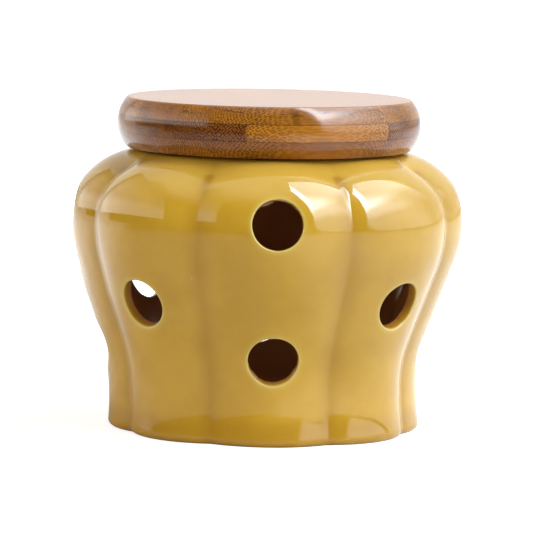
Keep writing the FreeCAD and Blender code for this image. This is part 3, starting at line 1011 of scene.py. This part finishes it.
colour = tint(bamboo, colour, marked, 0.6, glue_brown)
colour = tint(bamboo, colour, flat_top, 0.4, top_brown)
marks = use_group(bamboo, handled, {"Vector": here, "Grain": 1.0})
rough = times_plus(bamboo, marks["Haze"], 0.15, times_plus(bamboo, fibre, 0.24, 0.32))
relief = times_plus(bamboo, bundle, 0.012, times(bamboo, fibre, 0.02))
relief = times_plus(bamboo, marked, -0.05, relief)
relief = times_plus(bamboo, noise(bamboo, here, 90, 1), 0.12, relief)
close_group(bamboo, leave, {"Color": colour, "Roughness": rough, "Height": relief})
print("bamboo:", len(bamboo.nodes), "nodes")

# %% Four bamboo finishes
lacquered, plain, lacquer_roughness = 0.95, 0.1, 0.14
bamboo_tones = {"top": (shade(212, 134, 42), shade(106, 56, 26)),
                "middle": (shade(210, 132, 38), shade(88, 38, 10)),
                "bottom": (shade(202, 124, 40), shade(112, 58, 20)),
                "plug": (shade(206, 156, 92), shade(160, 104, 50))}
for name, (light_tone, dark_tone) in bamboo_tones.items():
    material = new_material("bamboo_" + name)
    tree = material[1]
    wood = use_group(tree, bamboo, {"Pale": light_tone, "Dark": dark_tone,
                                    "Seed": painted(tree, "seed"), "Tone": painted(tree, "tone"),
                                    "Gap": painted(tree, "joint_gap")})
    ply_pieces = [piece for key, piece in strips.items() if key.startswith(name)]
    finish(material, wood["Color"], wood["Roughness"], wood["Height"], ply_pieces or [plug],
           {"Coat Weight": lacquered if ply_pieces else plain,
            "Coat Roughness": lacquer_roughness, "Specular IOR Level": 0.0})

# %% [markdown]
# ## The silicone ring
# A soft pale ring, slightly see-through, with the fine grain of its mould and dust on it.

# %% Silicone
milk_scale, mould_scale = 130, 2600
silicone = new_material("pale_silicone")
tree = silicone[1]
spot = own_place(tree)
traces = use_group(tree, handled, {"Vector": spot, "Grain": 2.0})
milky = blend(tree, noise(tree, spot, milk_scale, 2), shade(226, 222, 212), shade(238, 235, 228))
colour = tint(tree, milky, traces["Dust"], 0.7, shade(150, 140, 126))
roughness = times_plus(tree, traces["Haze"], 0.2, 0.42)
grainy = times(tree, noise(tree, spot, mould_scale, 2), 0.012)
finish(silicone, colour, roughness, grainy, [ring],
       {"Subsurface Weight": 0.35, "Subsurface Scale": 2 * MM})

# %% [markdown]
# ## The table and the studio
# The keeper stands on a white table with nothing behind it. A glossy glaze shows its whole
# surroundings, so these matter as much as the pot: a big softbox up on the right is the key, a
# paler panel stands on the left, and the room behind the camera is dark. All of them are plain
# sheets. The camera doesn't see the sheets, and it sees the table and the world as white.
# Matt surfaces are lit by a room that is bright low down and dark overhead.

# %% The white room
low_level, high_level = 1.04, 0.0


def seen_directly(tree):
    """1 for rays that should meet the white background: camera, glossy and transmission rays."""
    ray = node(tree, "ShaderNodeLightPath").outputs
    sharp = maths(tree, "MAXIMUM", ray["Is Glossy Ray"], ray["Is Transmission Ray"])
    return maths(tree, "MAXIMUM", ray["Is Camera Ray"], sharp)


world = bpy.data.worlds.new("white_room")
bpy.context.scene.world = world
world.use_nodes = True
tree = world.node_tree
tree.nodes.clear()
upward = parts(tree, node(tree, "ShaderNodeTexCoord").outputs["Generated"])["Z"]
room = between(tree, upward, 0.0, 1.0, low_level, high_level)
strength = node(tree, "ShaderNodeMix", {"data_type": "FLOAT"},
                {0: seen_directly(tree), 2: room, 3: 1.0}).outputs[0]
background = node(tree, "ShaderNodeBackground", None,
                  {"Color": (1, 1, 1, 1), "Strength": strength})
node(tree, "ShaderNodeOutputWorld", None, {"Surface": background.outputs[0]})
print("room light from %.2f low down to %.2f overhead" % (low_level, high_level))

# %% A sheet from its corners
def sheet(name, corners, material):
    """A flat sheet of one face with a UV map, attached to no body of the keeper."""
    mesh = bpy.data.meshes.new(name)
    mesh.from_pydata([tuple(corner) for corner in corners], [], [(0, 1, 2, 3)])
    layer = mesh.uv_layers.new(name="UVMap")
    layer.data.foreach_set("uv", [0, 0, 1, 0, 1, 1, 0, 1])
    mesh.materials.append(material)
    made = bpy.data.objects.new(name, mesh)
    bpy.context.scene.collection.objects.link(made)
    return made


# %% The table
table_half, table_grey, painted_shade_grey, table_lift = 6.0, 0.62, 0.05, 0.74
shadow_reach, painted_shade_reach, wide_reach = (0.14, 0.5), (0.22, 1.0), (2.4, 0.6)
material, tree = new_material("table_white")
spot = own_place(tree)
x, y, _ = parts(tree, spot)
away = node(tree, "ShaderNodeVectorMath", {"operation": "LENGTH"}, {0: spot}).outputs["Value"]
ray = node(tree, "ShaderNodeLightPath").outputs
lift = times(tree, ray["Is Camera Ray"], between(tree, away, *shadow_reach, table_lift, 1.0))
# Painted reflection: for glossy rays the table glows brighter on the right and at the back left, as
# a brightly lit table would look in the glaze.
right_painted_glow = times(tree, between(tree, x, 0.0, 0.12), between(tree, x, *wide_reach, 0.5, 1.0))
left_painted_glow = times(tree, between(tree, x, -0.04, -0.18), between(tree, y, -0.1, 0.22))
painted_reflection = times_plus(tree, left_painted_glow, 1.1, right_painted_glow)
lift = times_plus(tree, ray["Is Glossy Ray"], painted_reflection, lift)
# Painted shade: the table's own grey fades to near black away from the pot, towards the sides and
# the front.
sideways = maths(tree, "MAXIMUM", times(tree, x, -1.0), times(tree, x, 0.45))
nearer = maths(tree, "MAXIMUM", sideways, times(tree, y, -1.0))
greys = ((table_grey,) * 3 + (1,), (painted_shade_grey,) * 3 + (1,))
matt = node(tree, "ShaderNodeBsdfDiffuse", None,
            {"Color": blend(tree, between(tree, nearer, *painted_shade_reach), *greys)})
glow = node(tree, "ShaderNodeEmission", None, {"Strength": lift})
show(tree, node(tree, "ShaderNodeAddShader", None, {0: matt.outputs[0], 1: glow.outputs[0]}))
table_corners = [(table_half * side, table_half * depth, 0)
                 for side, depth in ((-1, -1), (1, -1), (1, 1), (-1, 1))]
sheet("table", table_corners, material)
print("table: %.0f m wide" % (2 * table_half))


# %% [markdown]
# ## Lamps with soft edges
# A lamp's outline shows in the glaze as a reflection, so each sheet fades by two smooth ramps,
# one across it and one up it. The key's ramp leans, as its reflection does in the picture. Matt
# surfaces take only a share of the key's glow, so its reflection can be bright without washing
# out the colours. The panel overhead only shows in reflections.

# %% Lamps as glowing sheets
dull_share, lamp_distance, key_slant, key_colour = 0.45, 1.5, 0.25, (0.88, 1.0, 1.12, 1)
key_level, panel_level, overhead_level = 20.5, 2.7, 0.9


def direction(azimuth, elevation):
    """A unit vector from degrees: azimuth 0 is towards the front and 90 to the right."""
    a, e = math.radians(azimuth), math.radians(elevation)
    return np.array([math.sin(a) * math.cos(e), -math.cos(a) * math.cos(e), math.sin(e)])


def grey_ramp(tree, value, stops, kind="EASE"):
    """A grey that passes through a level at each of several places of a value."""
    ramp = node(tree, "ShaderNodeValToRGB", None, {"Fac": value})
    ramp.color_ramp.interpolation = kind
    while len(ramp.color_ramp.elements) < len(stops):
        ramp.color_ramp.elements.new(0.5)
    for element, (position, grey) in zip(ramp.color_ramp.elements, stops):
        element.position, element.color = position, (grey, grey, grey, 1)
    return ramp.outputs[0]


def glowing(name, level, colour=(1, 1, 1, 1), across=(), upward=(), dull=dull_share, slant=0.0):
    """A material that only glows: its level times a ramp across the sheet and one up it."""
    material, tree = new_material(name)
    u, v, _ = parts(tree, node(tree, "ShaderNodeUVMap").outputs[0])
    glow = level
    if across:
        glow = times(tree, grey_ramp(tree, times_plus(tree, v, slant, u), across), glow)
    if upward:
        glow = times(tree, grey_ramp(tree, v, upward), glow)
    seen_dull = node(tree, "ShaderNodeLightPath").outputs["Is Diffuse Ray"]
    glow = times(tree, glow, times_plus(tree, seen_dull, dull - 1, 1))
    show(tree, node(tree, "ShaderNodeEmission", None, {"Color": colour, "Strength": glow}))
    return material


def lamp_sheet(edges, facing, material):
    """A sheet square to a direction, with corners where four others meet it, hidden from view."""
    facing = direction(*facing)
    centre = np.array([0, 0, belly_height])
    ways = [direction(*edge) for edge in edges]
    corners = [centre + way * lamp_distance / (way @ facing) for way in ways]
    sheet(material.name, corners, material).visible_camera = False


lamp_sheet([(36, -1), (128, -1), (122, 79), (50, 74)], (88, 34),
           glowing("key_softbox", key_level, key_colour, slant=key_slant,
                   across=[(0, 0.04), (0.28, 1), (0.7, 1), (1, 0.3)],
                   upward=[(0, 0.12), (0.25, 0.15), (0.45, 0.38), (0.6, 1), (1, 1)]))
lamp_sheet([(-150, -1), (-50, 10), (-61, 50), (-150, 36)], (-88, 26),
           glowing("left_panel", panel_level, across=[(0, 0.25), (0.37, 0.9), (0.6, 0.9), (1, 0.7)],
                   upward=[(0, 1), (0.3, 1), (0.6, 0.45), (1, 0.12)], dull=1.0))
overhead = sheet("overhead", [(0.2, -0.8, 3.2), (0.2, 2.6, 3.2), (2.4, 2.6, 3.2), (2.4, -0.8, 3.2)],
                 glowing("overhead", overhead_level))
overhead.visible_camera = overhead.visible_diffuse = overhead.visible_shadow = False
print("lamps stand %.1f m away" % lamp_distance)

# %% The dark room behind the camera
curtain_radius, curtain_low, curtain_height = 2.6, 0.002, 5.0
curtain_reach, curtain_columns = math.radians(122), 49
angle = np.linspace(-curtain_reach, curtain_reach, curtain_columns)
curtain_points = np.array([[curtain_radius * math.sin(a), -curtain_radius * math.cos(a), z]
                           for z in (curtain_low, curtain_height) for a in angle])
low = np.arange(curtain_columns - 1)
curtain_faces = np.stack([low + 1, low, low + curtain_columns, low + curtain_columns + 1], -1)
curtain = make_piece("curtain", curtain_points, [curtain_faces])
material, tree = new_material("curtain_dark")
rise = maths(tree, "DIVIDE", parts(tree, own_place(tree))["Z"], curtain_height)
fade = grey_ramp(tree, rise, ((0.6, 0.06), (1.0, 0.7)), "LINEAR")
show(tree, node(tree, "ShaderNodeEmission", None, {"Color": fade}))
curtain.data.materials.append(material)
curtain.visible_camera = curtain.visible_diffuse = curtain.visible_shadow = False

# %% [markdown]
# ## The camera
# The picture is a long-lens product shot from a little above. The camera's place was found by
# matching the keeper's outline and vents, so it stands to the left of the front lobe and leans a
# degree. Its axes are written straight into its matrix: right, up and back.

# %% Place the camera
camera_distance, camera_height, focal_pixels, frame_pixels, sensor = 1.415, 0.2026, 4265.0, 533, 36
camera_pitch, camera_roll, camera_side = (math.radians(turn) for turn in (6.01, 1.04, 3.02))
right = np.array([math.cos(camera_side), -math.sin(camera_side), 0])
ahead = np.array([math.sin(camera_side), math.cos(camera_side), 0])
upright = np.array([0, 0, 1.0])
forward = math.cos(camera_pitch) * ahead - math.sin(camera_pitch) * upright
up = math.sin(camera_pitch) * ahead + math.cos(camera_pitch) * upright
axes = np.eye(4)
axes[:3, 0] = math.cos(camera_roll) * right + math.sin(camera_roll) * up
axes[:3, 1] = math.cos(camera_roll) * up - math.sin(camera_roll) * right
axes[:3, 2] = -forward
axes[:3, 3] = -camera_distance * ahead + camera_height * upright
camera = bpy.data.objects.new("camera", bpy.data.cameras.new("camera"))
camera.data.sensor_width = sensor
camera.data.lens = focal_pixels * sensor / frame_pixels
camera.data.clip_start, camera.data.clip_end = 0.05, 40
camera.matrix_world = Matrix(axes.tolist())
bpy.context.scene.collection.objects.link(camera)
bpy.context.scene.camera = camera
bpy.context.scene.view_settings.view_transform = "Standard"
print("camera at", axes[:3, 3].round(3), "lens %.0f mm" % camera.data.lens)
